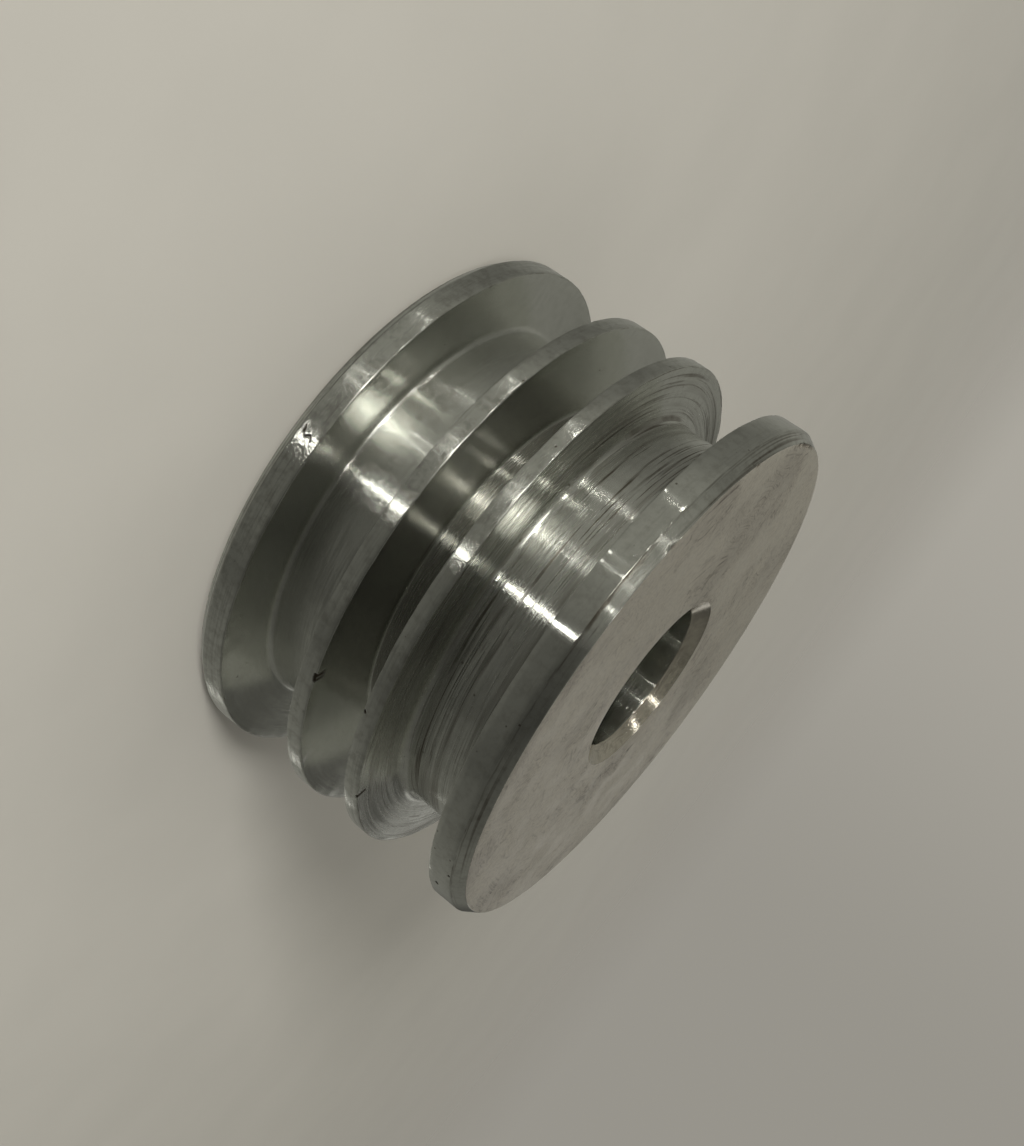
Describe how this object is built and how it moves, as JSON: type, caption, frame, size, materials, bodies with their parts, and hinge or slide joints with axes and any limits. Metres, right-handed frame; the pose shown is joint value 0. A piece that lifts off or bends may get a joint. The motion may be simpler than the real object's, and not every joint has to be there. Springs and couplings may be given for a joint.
{
  "type": "grooved belt pulley",
  "caption": "One-piece turned aluminium belt pulley: plain flanges with flat-bottomed grooves between them, and a straight through bore with chamfered mouths.",
  "frame": {"origin": "on the bore axis, in the outer face of the back flange, on which the pulley stands", "axes": "+Z along the bore axis, from the back flange up to the front flange with the wide chamfer"},
  "size_m": [0.07, 0.07, 0.0409],
  "materials": {
    "turned_aluminium": "turned, bare metal"
  },
  "bodies": {
    "root": {"pulley": "turned_aluminium"}
  },
  "joints": []
}
